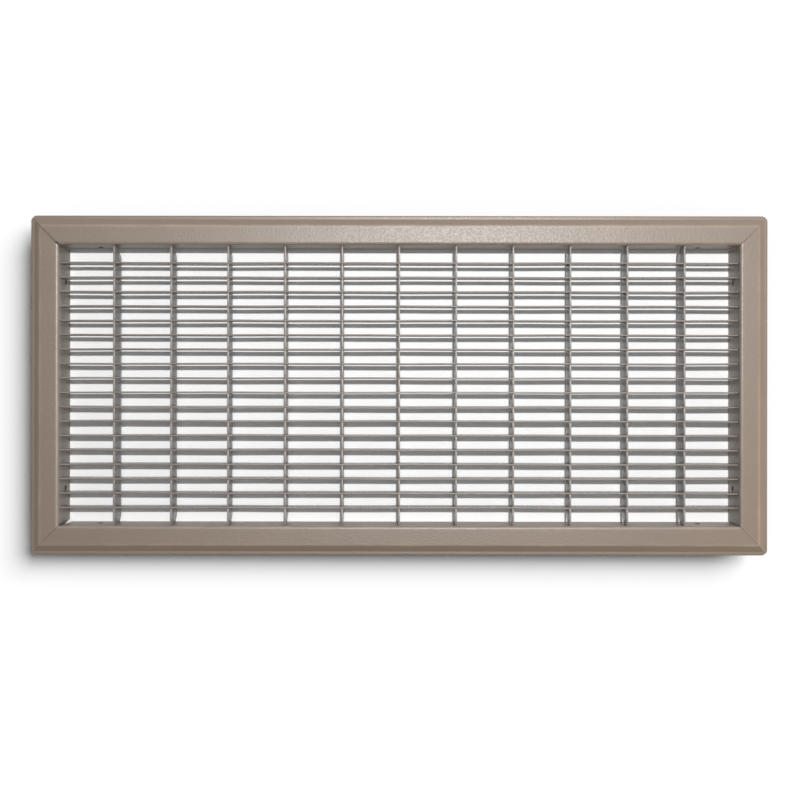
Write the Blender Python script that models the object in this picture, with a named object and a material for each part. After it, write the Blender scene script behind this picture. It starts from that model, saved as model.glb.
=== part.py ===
"""Steel floor grille: a mitred frame of formed sheet round an egg-crate core of blades and cross bars.

The grille lies face up. +X runs along its long side, +Y across it and +Z out of its face.
The origin is midway between the lower edges of the collar. All sizes are in metres.
"""

import math

import bmesh
import bpy
from mathutils import Matrix, Vector

# Collar that drops into the duct opening, measured outside
COLLAR_LENGTH = 0.6012
COLLAR_WIDTH = 0.2496
COLLAR_DEPTH = 0.0254
COLLAR_END_GAP = 0.0014

# Formed section of the frame, from the outer edge inwards
SHEET = 0.0010
LIP_WIDTH = 0.0037
SLOPE_RUN = 0.0062
FACE_RISE = 0.0050
FACE_WIDTH = 0.0143
ROLL_INNER_RADIUS = 0.0014
CREASE_INNER_RADIUS = 0.0010
CORNER_RADIUS = 0.0050

# Screw holes through the collar, two on each side
HOLE_DIAMETER = 0.0045
HOLE_HEIGHT = 0.0097
HOLE_FROM_CORNER = 0.0325

# Core of blades let into slotted cross bars, their front edges in one plane
CORE_RECESS = 0.0043
BLADE_COUNT = 18
BLADE_MARGIN = 0.01551
BLADE_THICKNESS = 0.0015
BLADE_DEPTH = 0.0127
BLADE_EDGE_ROUND = 0.00025
BAR_COUNT = 11
BAR_MARGIN = 0.04735
BAR_THICKNESS = 0.0015
BAR_WEB = 0.0033
BAR_END_CHAMFER = 0.0075

# Clearances between pieces that touch
MITRE_GAP = 0.0003
SLOT_CLEARANCE = 0.0003
CORE_END_CLEARANCE = 0.0003

# How finely round forms are divided, and how far a cutter runs past what it cuts
CREASE_STEPS = 4
ROLL_STEPS = 8
CORNER_STEPS = 8
EDGE_STEPS = 2
ROUND_PROFILE = 0.5
HOLE_SIDES = 24
CUTTER_OVERRUN = 0.0020
WELD_DISTANCE = 1e-6
SMOOTH_ANGLE = math.radians(30)

# Baked enamel: one taupe, a little duller on the core than on the frame
FRAME_COLOUR = (0.298, 0.223, 0.165)
BLADE_COLOUR = (0.270, 0.236, 0.208)
BAR_COLOUR = (0.270, 0.240, 0.216)
FRAME_ROUGHNESS = 0.50
CORE_ROUGHNESS = 0.50

# Sizes that follow from those above
ROLL_RADIUS = ROLL_INNER_RADIUS + SHEET
OVERHANG = LIP_WIDTH + SLOPE_RUN + FACE_WIDTH + ROLL_RADIUS
INNER_LENGTH = COLLAR_LENGTH - 2 * SHEET
INNER_WIDTH = COLLAR_WIDTH - 2 * SHEET
FRAME_LENGTH = INNER_LENGTH + 2 * OVERHANG
FRAME_WIDTH = INNER_WIDTH + 2 * OVERHANG
CORE_FRONT = COLLAR_DEPTH - CORE_RECESS
BAR_DEPTH = BLADE_DEPTH + BAR_WEB


def clear_scene():
    """Remove every object that the scene starts with."""
    for obj in list(bpy.data.objects):
        bpy.data.objects.remove(obj, do_unlink=True)


def new_collection(name):
    """Return a new collection linked into the scene."""
    collection = bpy.data.collections.new(name)
    bpy.context.scene.collection.children.link(collection)
    return collection


def enamel(name, colour, roughness):
    """Return a baked-enamel material of one colour."""
    material = bpy.data.materials.new(name)
    material.use_nodes = True
    shader = material.node_tree.nodes["Principled BSDF"]
    shader.inputs["Base Color"].default_value = (*colour, 1.0)
    shader.inputs["Roughness"].default_value = roughness
    shader.inputs["Metallic"].default_value = 0.0
    return material


def even_places(span, margin, count):
    """Return evenly spaced places across a span centred on zero, with a margin at each end."""
    pitch = (span - 2 * margin) / (count - 1)
    return [(index - (count - 1) / 2) * pitch for index in range(count)]


def arc(centre, radius, start, turn, steps):
    """Return points along an arc, its angles in radians."""
    angles = [start + turn * step / steps for step in range(steps + 1)]
    return [centre + radius * Vector((math.cos(angle), math.sin(angle))) for angle in angles]


def plate_mesh(name, outline, thickness):
    """Return the mesh of a flat outline in XY, thickened equally to both sides along Z."""
    curve = bpy.data.curves.new(name, "CURVE")
    curve.dimensions = "2D"
    curve.fill_mode = "BOTH"
    curve.extrude = thickness / 2
    spline = curve.splines.new("POLY")
    spline.points.add(len(outline) - 1)
    for point, place in zip(spline.points, outline):
        point.co = (place[0], place[1], 0.0, 1.0)
    spline.use_cyclic_u = True
    guide = bpy.data.objects.new(name, curve)
    bpy.context.scene.collection.objects.link(guide)
    graph = bpy.context.evaluated_depsgraph_get()
    mesh = bpy.data.meshes.new_from_object(guide.evaluated_get(graph))
    mesh.name = name
    bpy.data.objects.remove(guide, do_unlink=True)
    bpy.data.curves.remove(curve)
    shape = bmesh.new()
    shape.from_mesh(mesh)
    bmesh.ops.remove_doubles(shape, verts=shape.verts, dist=WELD_DISTANCE)
    bmesh.ops.recalc_face_normals(shape, faces=shape.faces)
    shape.to_mesh(mesh)
    shape.free()
    return mesh


def stand_along_x(mesh):
    """Turn a plate's XY outline into the YZ plane, so that its thickness runs along X."""
    mesh.transform(Matrix(((0, 0, 1, 0), (1, 0, 0, 0), (0, 1, 0, 0), (0, 0, 0, 1))))


def stand_along_y(mesh):
    """Turn a plate's XY outline into the XZ plane, so that its thickness runs along Y."""
    mesh.transform(Matrix.Rotation(math.radians(90), 4, "X"))


def place(name, mesh, collection, material, parent, location, turn=0.0):
    """Return a part made of a mesh, placed under its parent."""
    obj = bpy.data.objects.new(name, mesh)
    obj.location = location
    obj.rotation_euler.z = turn
    obj.parent = parent
    mesh.materials.append(material)
    mesh.shade_smooth()
    mesh.set_sharp_from_angle(angle=SMOOTH_ANGLE)
    collection.objects.link(obj)
    return obj


def cut(part, name, mesh, cutters):
    """Take a cutter's shape, given in the part's own axes, out of the part."""
    cutter = bpy.data.objects.new(name, mesh)
    cutter.parent = part
    cutter.hide_render = True
    cutter.display_type = "WIRE"
    cutters.objects.link(cutter)
    modifier = part.modifiers.new(name, "BOOLEAN")
    modifier.operation = "DIFFERENCE"
    modifier.solver = "EXACT"
    modifier.object = cutter


def formed_sheet(corners, radii, steps):
    """Return the closed outline of a bent sheet from the corners of its visible side.

    The visible side is on the left of the path. Each inner corner is rounded to its radius, and the
    other side runs one sheet thickness away, along the same normals.
    """
    visible = []
    hidden = []

    def add(point, normal):
        visible.append(point)
        hidden.append(point - normal * SHEET)

    def normal_of(direction):
        return Vector((-direction.y, direction.x))

    directions = [(end - start).normalized() for start, end in zip(corners, corners[1:])]
    add(corners[0], normal_of(directions[0]))
    for corner, before, after, radius, count in zip(
        corners[1:], directions, directions[1:], radii, steps
    ):
        turn = before.angle_signed(after) * -1
        side = math.copysign(1.0, turn)
        start = corner - before * radius * math.tan(abs(turn) / 2)
        centre = start + normal_of(before) * radius * side
        spoke = start - centre
        for point in arc(centre, radius, math.atan2(spoke.y, spoke.x), turn, count):
            add(point, (centre - point).normalized() * side)
    add(corners[-1], normal_of(directions[-1]))
    return visible + hidden[::-1]


def frame_section():
    """Return the frame's section: inwards from its outer edge against height above the collar's edge."""
    lip_top = COLLAR_DEPTH - FACE_RISE
    corners = [
        Vector((0.0, lip_top)),
        Vector((LIP_WIDTH, lip_top)),
        Vector((LIP_WIDTH + SLOPE_RUN, COLLAR_DEPTH)),
        Vector((OVERHANG, COLLAR_DEPTH)),
        Vector((OVERHANG, 0.0)),
    ]
    radii = [CREASE_INNER_RADIUS, CREASE_INNER_RADIUS + SHEET, ROLL_RADIUS]
    return formed_sheet(corners, radii, [CREASE_STEPS, CREASE_STEPS, ROLL_STEPS])


def mitre(mesh, run):
    """Cut both ends of a frame member at 45 degrees, each half a gap short of the corner's diagonal."""
    shape = bmesh.new()
    shape.from_mesh(mesh)
    for end in (-1, 1):
        normal = Vector((end, 1, 0)).normalized()
        corner = Vector((end * run / 2, 0, 0))
        geometry = shape.verts[:] + shape.edges[:] + shape.faces[:]
        bmesh.ops.bisect_plane(
            shape,
            geom=geometry,
            dist=WELD_DISTANCE,
            plane_co=corner - normal * MITRE_GAP / 2,
            plane_no=normal,
            clear_outer=True,
        )
        rim = [edge for edge in shape.edges if edge.is_boundary]
        bmesh.ops.contextual_create(shape, geom=rim)
    bmesh.ops.recalc_face_normals(shape, faces=shape.faces)
    shape.to_mesh(mesh)
    shape.free()


def corner_cutter(name, run, end):
    """Return what lies outside the rounded plan corner at one end of a frame member."""
    tangent = run / 2 - CORNER_RADIUS
    outside = run / 2 + CUTTER_OVERRUN
    round_edge = arc(Vector((tangent, CORNER_RADIUS)), CORNER_RADIUS, 0.0, -math.pi / 2, CORNER_STEPS)
    outline = [
        *round_edge,
        (tangent, -CUTTER_OVERRUN),
        (outside, -CUTTER_OVERRUN),
        (outside, CORNER_RADIUS),
    ]
    mesh = plate_mesh(name, [(end * x, y) for x, y in outline], 2 * COLLAR_DEPTH + CUTTER_OVERRUN)
    mesh.transform(Matrix.Translation((0, 0, COLLAR_DEPTH)))
    return mesh


def collar_end_cutter(name, run, end):
    """Return the relief at one end of a collar: an open slit at the corner, below the roll."""
    stop = run / 2 - OVERHANG - COLLAR_END_GAP
    top = COLLAR_DEPTH - ROLL_RADIUS
    outline = [
        (stop, -CUTTER_OVERRUN),
        (stop, top),
        (run / 2, top),
        (run / 2, -CUTTER_OVERRUN),
    ]
    mesh = plate_mesh(name, [(end * x, z) for x, z in outline], SHEET + 2 * CUTTER_OVERRUN)
    stand_along_y(mesh)
    mesh.transform(Matrix.Translation((0, OVERHANG - SHEET / 2, 0)))
    return mesh


def screw_hole_cutter(name, run, end):
    """Return the cylinder of one screw hole through a collar."""
    shape = bmesh.new()
    bmesh.ops.create_cone(
        shape,
        cap_ends=True,
        segments=HOLE_SIDES,
        radius1=HOLE_DIAMETER / 2,
        radius2=HOLE_DIAMETER / 2,
        depth=SHEET + 2 * CUTTER_OVERRUN,
    )
    along = run / 2 - OVERHANG + SHEET - HOLE_FROM_CORNER
    turned = Matrix.Rotation(math.radians(90), 4, "X")
    centre = Matrix.Translation((end * along, OVERHANG - SHEET / 2, HOLE_HEIGHT))
    bmesh.ops.transform(shape, matrix=centre @ turned, verts=shape.verts)
    mesh = bpy.data.meshes.new(name)
    shape.to_mesh(mesh)
    shape.free()
    return mesh


def frame_member(name, run, location, turn, assembly):
    """Add one member of the frame, its outer edge on its own X axis and its collar towards +Y."""
    mesh = plate_mesh(name, frame_section(), run + 2 * CUTTER_OVERRUN)
    stand_along_x(mesh)
    mitre(mesh, run)
    member = place(
        name, mesh, assembly["parts"], assembly["frame_enamel"], assembly["root"], location, turn
    )
    for end, which in ((-1, "a"), (1, "b")):
        for feature, cutter in (
            ("corner", corner_cutter),
            ("collar_end", collar_end_cutter),
            ("screw_hole", screw_hole_cutter),
        ):
            cutter_name = f"{name}_{feature}_{which}"
            cut(member, cutter_name, cutter(cutter_name, run, end), assembly["cutters"])


def add_frame(assembly):
    """Add the two rails and the two stiles, each turned a quarter from the last."""
    members = (
        ("bottom_rail", FRAME_LENGTH, (0, -FRAME_WIDTH / 2, 0)),
        ("right_stile", FRAME_WIDTH, (FRAME_LENGTH / 2, 0, 0)),
        ("top_rail", FRAME_LENGTH, (0, FRAME_WIDTH / 2, 0)),
        ("left_stile", FRAME_WIDTH, (-FRAME_LENGTH / 2, 0, 0)),
    )
    for quarter, (name, run, location) in enumerate(members):
        frame_member(name, run, location, quarter * math.pi / 2, assembly)


def blade_mesh():
    """Return the mesh of one blade: a strip on edge, its front edge on Z = 0 and its long edges eased."""
    shape = bmesh.new()
    bmesh.ops.create_cube(shape, size=1.0)
    length = INNER_LENGTH - 2 * CORE_END_CLEARANCE
    bmesh.ops.scale(shape, vec=(length, BLADE_THICKNESS, BLADE_DEPTH), verts=shape.verts)
    bmesh.ops.translate(shape, vec=(0, 0, -BLADE_DEPTH / 2), verts=shape.verts)
    long_edges = [
        edge for edge in shape.edges if abs(edge.verts[0].co.x - edge.verts[1].co.x) > length / 2
    ]
    bmesh.ops.bevel(
        shape,
        geom=long_edges,
        offset=BLADE_EDGE_ROUND,
        segments=EDGE_STEPS,
        profile=ROUND_PROFILE,
        affect="EDGES",
    )
    mesh = bpy.data.meshes.new("blade")
    shape.to_mesh(mesh)
    shape.free()
    return mesh


def add_blades(assembly, places):
    """Add the blades, from the bottom rail to the top one."""
    for number, across in enumerate(places, start=1):
        place(
            f"blade_{number:02d}",
            blade_mesh(),
            assembly["parts"],
            assembly["blade_enamel"],
            assembly["root"],
            (0, across, CORE_FRONT),
        )


def bar_outline(blade_places):
    """Return a cross bar's outline: a slot in the front edge for each blade, and sloped back corners."""
    end = INNER_WIDTH / 2 - CORE_END_CLEARANCE
    half_slot = BLADE_THICKNESS / 2 + SLOT_CLEARANCE
    slot_floor = -(BLADE_DEPTH + SLOT_CLEARANCE)
    outline = [(-end, 0.0)]
    for across in blade_places:
        outline += [
            (across - half_slot, 0.0),
            (across - half_slot, slot_floor),
            (across + half_slot, slot_floor),
            (across + half_slot, 0.0),
        ]
    outline += [
        (end, 0.0),
        (end, BAR_END_CHAMFER - BAR_DEPTH),
        (end - BAR_END_CHAMFER, -BAR_DEPTH),
        (BAR_END_CHAMFER - end, -BAR_DEPTH),
        (-end, BAR_END_CHAMFER - BAR_DEPTH),
    ]
    return outline


def add_cross_bars(assembly, places, blade_places):
    """Add the cross bars, from the left stile to the right one."""
    for number, along in enumerate(places, start=1):
        name = f"cross_bar_{number:02d}"
        mesh = plate_mesh(name, bar_outline(blade_places), BAR_THICKNESS)
        stand_along_x(mesh)
        place(
            name,
            mesh,
            assembly["parts"],
            assembly["bar_enamel"],
            assembly["root"],
            (along, 0, CORE_FRONT),
        )


def build():
    """Build the whole grille."""
    clear_scene()
    parts = new_collection("floor_grille")
    root = bpy.data.objects.new("grille_origin", None)
    parts.objects.link(root)
    assembly = {
        "parts": parts,
        "cutters": new_collection("cutters"),
        "root": root,
        "frame_enamel": enamel("frame_enamel", FRAME_COLOUR, FRAME_ROUGHNESS),
        "blade_enamel": enamel("blade_enamel", BLADE_COLOUR, CORE_ROUGHNESS),
        "bar_enamel": enamel("bar_enamel", BAR_COLOUR, CORE_ROUGHNESS),
    }
    blade_places = even_places(INNER_WIDTH, BLADE_MARGIN, BLADE_COUNT)
    bar_places = even_places(INNER_LENGTH, BAR_MARGIN, BAR_COUNT)
    add_frame(assembly)
    add_blades(assembly, blade_places)
    add_cross_bars(assembly, bar_places, blade_places)
    bpy.context.view_layer.update()


build()
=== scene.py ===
"""Finished look of a steel floor grille: a mitred frame of formed sheet round an egg-crate core.

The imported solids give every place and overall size, in metres, with the grille lying face up.
Here each frame member, blade and cross bar is made again with its real edges, joints and enamel,
and a white table, soft lamps and a camera straight above it make the studio.
"""

import logging
import math
from dataclasses import dataclass, field
from enum import Enum

import bpy
import numpy as np
from mathutils import Matrix, Vector


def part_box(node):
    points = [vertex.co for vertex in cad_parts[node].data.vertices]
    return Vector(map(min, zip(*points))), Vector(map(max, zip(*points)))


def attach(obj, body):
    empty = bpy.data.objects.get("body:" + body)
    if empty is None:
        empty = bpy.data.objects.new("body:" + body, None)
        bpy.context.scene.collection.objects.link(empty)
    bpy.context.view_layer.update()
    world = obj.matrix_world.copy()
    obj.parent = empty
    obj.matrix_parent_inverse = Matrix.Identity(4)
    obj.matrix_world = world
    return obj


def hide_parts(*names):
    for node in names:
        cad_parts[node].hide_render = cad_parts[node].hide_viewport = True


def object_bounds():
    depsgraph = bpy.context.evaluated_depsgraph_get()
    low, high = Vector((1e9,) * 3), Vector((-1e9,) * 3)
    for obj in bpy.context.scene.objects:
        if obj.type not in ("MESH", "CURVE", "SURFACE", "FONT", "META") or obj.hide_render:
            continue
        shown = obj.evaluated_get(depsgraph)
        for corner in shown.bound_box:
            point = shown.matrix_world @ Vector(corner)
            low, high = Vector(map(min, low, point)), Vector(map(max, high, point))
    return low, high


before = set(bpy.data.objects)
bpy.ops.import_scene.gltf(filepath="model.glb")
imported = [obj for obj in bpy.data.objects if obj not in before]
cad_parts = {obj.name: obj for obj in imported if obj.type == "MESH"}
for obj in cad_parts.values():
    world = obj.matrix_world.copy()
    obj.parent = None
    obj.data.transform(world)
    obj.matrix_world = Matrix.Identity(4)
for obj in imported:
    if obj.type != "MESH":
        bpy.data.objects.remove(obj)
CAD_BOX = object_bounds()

LOG = logging.getLogger("floor_grille")
BODY = "root"
EDGE_ATTRIBUTE = "edge"
WALL_ATTRIBUTE = "wall"
BORE_ATTRIBUTE = "bore"
SMOOTH_ANGLE = math.radians(32)
EASE_ANGLE = math.radians(40)
EASE_SEGMENTS = 2
CUTTER_OVERRUN = 0.002
MIX_SHARE, MIX_FIRST, MIX_SECOND, MIX_RESULT = 0, 6, 7, 2
NOISE_LOW, NOISE_HIGH = 0.3, 0.7
KEY_PLACE = (0.14, 0.335, 1.43)
WHITE = (1.0, 1.0, 1.0, 1.0)

Input = bpy.types.NodeSocket | bpy.types.Material | float | int | tuple
Colour = tuple[float, float, float]


class Socket(Enum):
    """Kinds of named input of a geometry tree."""

    NUMBER = "NodeSocketFloat"
    COUNT = "NodeSocketInt"
    VECTOR = "NodeSocketVector"


class Corner(Enum):
    """The four mitred corners of the frame: which way each lies from the middle, along X and Y."""

    BOTTOM_LEFT = (-1, -1)
    BOTTOM_RIGHT = (1, -1)
    TOP_RIGHT = (1, 1)
    TOP_LEFT = (-1, 1)


class Side(Enum):
    """The four members of the frame: node name, quarter turns, first corner and second corner."""

    BOTTOM = ("bottom_rail", 0, Corner.BOTTOM_LEFT, Corner.BOTTOM_RIGHT)
    RIGHT = ("right_stile", 1, Corner.BOTTOM_RIGHT, Corner.TOP_RIGHT)
    TOP = ("top_rail", 2, Corner.TOP_RIGHT, Corner.TOP_LEFT)
    LEFT = ("left_stile", 3, Corner.TOP_LEFT, Corner.BOTTOM_LEFT)

    @property
    def node(self) -> str:
        """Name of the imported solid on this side."""
        return self.value[0]

    @property
    def quarters(self) -> int:
        """Quarter turns that bring a member from the bottom to this side."""
        return self.value[1]

    @property
    def corners(self) -> tuple[Corner, Corner]:
        """Corners at the member's low and high ends."""
        return self.value[2], self.value[3]


def add_node(tree: bpy.types.NodeTree, kind: str, inputs: dict[str | int, Input] | None = None,
             **settings: str | int | bool) -> bpy.types.Node:
    """Add a node to a tree, set it up and wire its inputs.

    Args:
        tree: The shader or geometry tree.
        kind: The node's type name.
        inputs: A socket to link from, or a fixed value, for each input by name or number.
        **settings: The node's own options.

    Returns:
        The new node.
    """
    node = tree.nodes.new(kind)
    for name, value in settings.items():
        setattr(node, name, value)
    for key, value in (inputs or {}).items():
        if isinstance(value, bpy.types.NodeSocket):
            tree.links.new(value, node.inputs[key])
        else:
            node.inputs[key].default_value = value
    return node


def math_node(tree: bpy.types.NodeTree, operation: str, *values: Input) -> bpy.types.NodeSocket:
    """Add a Math node.

    Args:
        tree: The shader or geometry tree.
        operation: The operation's name.
        *values: A socket or a number for each operand.

    Returns:
        The result's socket.
    """
    return add_node(tree, "ShaderNodeMath", dict(enumerate(values)), operation=operation).outputs[0]


def mix_node(tree: bpy.types.NodeTree, share: Input, first: Input, second: Input) -> bpy.types.NodeSocket:
    """Add a Mix node for colours.

    Args:
        tree: The shader tree.
        share: Share of the second colour.
        first: The first colour.
        second: The second colour.

    Returns:
        The mixed colour's socket.
    """
    inputs = {MIX_SHARE: share, MIX_FIRST: first, MIX_SECOND: second}
    return add_node(tree, "ShaderNodeMix", inputs, data_type="RGBA").outputs[MIX_RESULT]


@dataclass(frozen=True)
class Enamel:
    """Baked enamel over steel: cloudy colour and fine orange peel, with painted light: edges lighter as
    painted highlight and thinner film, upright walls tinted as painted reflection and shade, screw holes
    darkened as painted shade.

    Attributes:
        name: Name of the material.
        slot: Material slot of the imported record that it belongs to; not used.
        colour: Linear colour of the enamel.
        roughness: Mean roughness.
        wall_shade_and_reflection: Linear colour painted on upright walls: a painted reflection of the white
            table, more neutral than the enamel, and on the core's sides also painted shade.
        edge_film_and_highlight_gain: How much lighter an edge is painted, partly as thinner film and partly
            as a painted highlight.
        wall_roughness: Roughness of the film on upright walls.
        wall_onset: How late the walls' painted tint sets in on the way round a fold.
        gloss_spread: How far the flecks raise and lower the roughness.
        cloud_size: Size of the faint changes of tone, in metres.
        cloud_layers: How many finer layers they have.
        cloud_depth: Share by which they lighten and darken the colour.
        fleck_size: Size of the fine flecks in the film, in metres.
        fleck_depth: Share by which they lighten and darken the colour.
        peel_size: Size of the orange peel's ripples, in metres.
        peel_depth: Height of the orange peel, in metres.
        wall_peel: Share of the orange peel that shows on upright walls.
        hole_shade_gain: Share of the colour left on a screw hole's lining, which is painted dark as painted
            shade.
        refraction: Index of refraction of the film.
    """

    name: str
    slot: str
    colour: Colour
    roughness: float
    wall_shade_and_reflection: Colour
    edge_film_and_highlight_gain: float
    wall_roughness: float = 0.25
    wall_onset: float = 4.0
    gloss_spread: float = 0.037
    cloud_size: float = 0.030
    cloud_layers: float = 3.0
    cloud_depth: float = 0.025
    fleck_size: float = 0.0013
    fleck_depth: float = 0.025
    peel_size: float = 0.0013
    peel_depth: float = 0.000130
    wall_peel: float = 0.2
    hole_shade_gain: float = 0.12
    refraction: float = 1.5

    def tone(self, gain: float) -> tuple[float, float, float, float]:
        """Return the enamel's colour made lighter or darker by a factor."""
        red, green, blue = self.colour
        return red * gain, green * gain, blue * gain, 1.0

    def material(self) -> bpy.types.Material:
        """Make the enamel's node material.

        Returns:
            The new material.
        """
        material = bpy.data.materials.new(self.name)
        material.use_nodes = True
        tree = material.node_tree
        shader = tree.nodes["Principled BSDF"]
        shader.inputs["IOR"].default_value = self.refraction
        place = add_node(tree, "ShaderNodeTexCoord").outputs["Object"]
        clouds = self.noise(tree, place, self.cloud_size, self.cloud_layers)
        flecks = self.noise(tree, place, self.fleck_size)
        peel = self.noise(tree, place, self.peel_size)
        edge, wall, bore = (
            add_node(tree, "ShaderNodeAttribute", attribute_name=name).outputs["Fac"]
            for name in (EDGE_ATTRIBUTE, WALL_ATTRIBUTE, BORE_ATTRIBUTE)
        )
        # Upright walls take a painted colour: a painted reflection of the white table, and on the core's
        # sides painted shade.
        upright = math_node(tree, "POWER", wall, self.wall_onset)
        dark, light = self.tone(1 - self.cloud_depth), self.tone(1 + self.cloud_depth)
        cloudy = mix_node(tree, self.ramp(tree, clouds, 0.0, 1.0), dark, light)
        body = mix_node(tree, upright, cloudy, (*self.wall_shade_and_reflection, 1.0))
        grain = self.ramp(tree, flecks, 1 - self.fleck_depth, 1 + self.fleck_depth)
        # Folds and front edges painted lighter: partly thinner film, partly a painted highlight.
        broken = math_node(tree, "MULTIPLY", edge, clouds)
        grain_and_edge_highlight = math_node(tree, "MULTIPLY_ADD", broken, self.edge_film_and_highlight_gain - 1, grain)
        # Screw-hole linings painted dark as painted shade inside the holes.
        painted_hole_shade = math_node(tree, "MULTIPLY_ADD", bore, self.hole_shade_gain - 1, 1.0)
        film = add_node(tree, "ShaderNodeVectorMath", {
            0: body, "Scale": math_node(tree, "MULTIPLY", grain_and_edge_highlight, painted_hole_shade),
        }, operation="SCALE")
        tree.links.new(film.outputs[0], shader.inputs["Base Color"])
        smooth, rough = self.roughness - self.gloss_spread, self.roughness + self.gloss_spread
        gloss = self.ramp(tree, flecks, smooth, rough)
        dull = math_node(tree, "MULTIPLY_ADD", wall, self.wall_roughness - self.roughness, gloss)
        tree.links.new(dull, shader.inputs["Roughness"])
        bump = add_node(tree, "ShaderNodeBump", {
            "Height": peel, "Distance": self.peel_depth,
            "Strength": math_node(tree, "MULTIPLY_ADD", wall, self.wall_peel - 1, 1.0),
        })
        tree.links.new(bump.outputs[0], shader.inputs["Normal"])
        return material

    def noise(self, tree: bpy.types.NodeTree, place: bpy.types.NodeSocket, size: float,
              layers: float = 0.0) -> bpy.types.NodeSocket:
        """Add smooth noise of a given size.

        Args:
            tree: The material's tree.
            place: Socket of the coordinates.
            size: Size of one ripple, in metres.
            layers: How many finer layers it has.

        Returns:
            Socket of the noise, from 0 to 1.
        """
        return add_node(tree, "ShaderNodeTexNoise", {
            "Vector": place, "Scale": 1 / size, "Detail": layers,
        }).outputs[0]

    def ramp(self, tree: bpy.types.NodeTree, noise: bpy.types.NodeSocket, low: float, high: float
             ) -> bpy.types.NodeSocket:
        """Stretch the usual range of noise between two values.

        Args:
            tree: The material's tree.
            noise: Socket of the noise.
            low: Value where the noise is low.
            high: Value where it is high.

        Returns:
            Socket of the value.
        """
        return add_node(tree, "ShaderNodeMapRange", {
            "Value": noise, "From Min": NOISE_LOW, "From Max": NOISE_HIGH, "To Min": low, "To Max": high,
        }).outputs[0]


class GeometryTree:
    """A geometry node group whose sizes are named inputs."""

    def __init__(self, name: str, sizes: dict[str, Socket]) -> None:
        """Start the group.

        Args:
            name: Name of the group.
            sizes: Kind of each input, by name.
        """
        self.group = bpy.data.node_groups.new(name, "GeometryNodeTree")
        face = self.group.interface
        face.new_socket("Geometry", in_out="OUTPUT", socket_type="NodeSocketGeometry")
        face.new_socket("Geometry", in_out="INPUT", socket_type="NodeSocketGeometry")
        for size, kind in sizes.items():
            face.new_socket(size, in_out="INPUT", socket_type=kind.value)
        face.new_socket("Material", in_out="INPUT", socket_type="NodeSocketMaterial")
        self.inputs = self.group.nodes.new("NodeGroupInput").outputs

    def add(self, kind: str, inputs: dict[str | int, Input] | None = None,
            **settings: str | int | bool) -> bpy.types.NodeSocket:
        """Add a node and return its first output; the arguments are those of add_node."""
        return add_node(self.group, kind, inputs, **settings).outputs[0]

    def math(self, operation: str, *values: Input) -> bpy.types.NodeSocket:
        """Add a Math node and return its result."""
        return math_node(self.group, operation, *values)

    def vector(self, x: Input = 0.0, y: Input = 0.0, z: Input = 0.0) -> bpy.types.NodeSocket:
        """Add a Combine XYZ node and return its vector."""
        return self.add("ShaderNodeCombineXYZ", {0: x, 1: y, 2: z})

    def close(self, geometry: bpy.types.NodeSocket) -> None:
        """End the tree in Realize Instances and Set Material.

        Args:
            geometry: Socket of the finished geometry.
        """
        real = self.add("GeometryNodeRealizeInstances", {0: geometry})
        dressed = self.add("GeometryNodeSetMaterial", {"Geometry": real, "Material": self.inputs["Material"]})
        add_node(self.group, "NodeGroupOutput", {"Geometry": dressed})

    def grow(self, name: str, values: dict[str, Input], base: bpy.types.Mesh | None = None,
             ease: float = 0.0) -> bpy.types.Object:
        """Run the tree on a new object and keep the result as a plain mesh.

        Args:
            name: Name of the object.
            values: Value of each named input.
            base: Mesh to work on, where the tree needs one.
            ease: Width to which sharp edges are rounded afterwards, in metres.

        Returns:
            The new object, without modifiers.
        """
        obj = bpy.data.objects.new(name, base or bpy.data.meshes.new(name))
        bpy.context.scene.collection.objects.link(obj)
        modifier = obj.modifiers.new(self.group.name, "NODES")
        modifier.node_group = self.group
        for item in self.group.interface.items_tree:
            if item.in_out == "INPUT" and item.name in values:
                modifier[item.identifier] = values[item.name]
        if ease:
            bevel = obj.modifiers.new("eased_edges", "BEVEL")
            bevel.width = ease
            bevel.segments = EASE_SEGMENTS
            bevel.limit_method = "ANGLE"
            bevel.angle_limit = EASE_ANGLE
        graph = bpy.context.evaluated_depsgraph_get()
        mesh = bpy.data.meshes.new_from_object(obj.evaluated_get(graph))
        obj.modifiers.clear()
        obj.data = mesh
        mesh.name = name
        mesh.shade_smooth()
        mesh.set_sharp_from_angle(angle=SMOOTH_ANGLE)
        return obj


def mark(mesh: bpy.types.Mesh, name: str, amount: np.ndarray, domain: str = "POINT") -> None:
    """Keep a value at each vertex or face of a piece, for the enamel.

    Args:
        mesh: The piece's mesh.
        name: Name of the attribute.
        amount: One value per vertex or face, from 0 to 1.
        domain: POINT for vertices, FACE for faces.
    """
    layer = mesh.attributes.new(name, "FLOAT", domain)
    layer.data.foreach_set("value", amount.astype(np.float32))


def vertices(mesh: bpy.types.Mesh) -> np.ndarray:
    """Read the places of a mesh's vertices.

    Args:
        mesh: The mesh.

    Returns:
        One row of X, Y and Z per vertex.
    """
    flat = np.empty(len(mesh.vertices) * 3, np.float32)
    mesh.vertices.foreach_get("co", flat)
    return flat.reshape(-1, 3).astype(float)


def smooth_step(value: np.ndarray) -> np.ndarray:
    """Return an eased ramp from 0 to 1 as the value runs from 0 to 1."""
    ramp = np.clip(value, 0.0, 1.0)
    return ramp * ramp * (3 - 2 * ramp)


def mark_strip(mesh: bpy.types.Mesh, top: float, spread: float, turn: float) -> None:
    """Mark the front edge and the upright walls of a strip that stands on edge.

    Args:
        mesh: The strip's mesh.
        top: Height of its front edge.
        spread: How far down the lighter front edge reaches, painted as thinner film and painted highlight.
        turn: Depth over which the edge turns into the walls.
    """
    drop = top - vertices(mesh)[:, 2]
    mark(mesh, EDGE_ATTRIBUTE, np.exp(-((drop / spread) ** 2)))
    mark(mesh, WALL_ATTRIBUTE, smooth_step(drop / turn))


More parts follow.
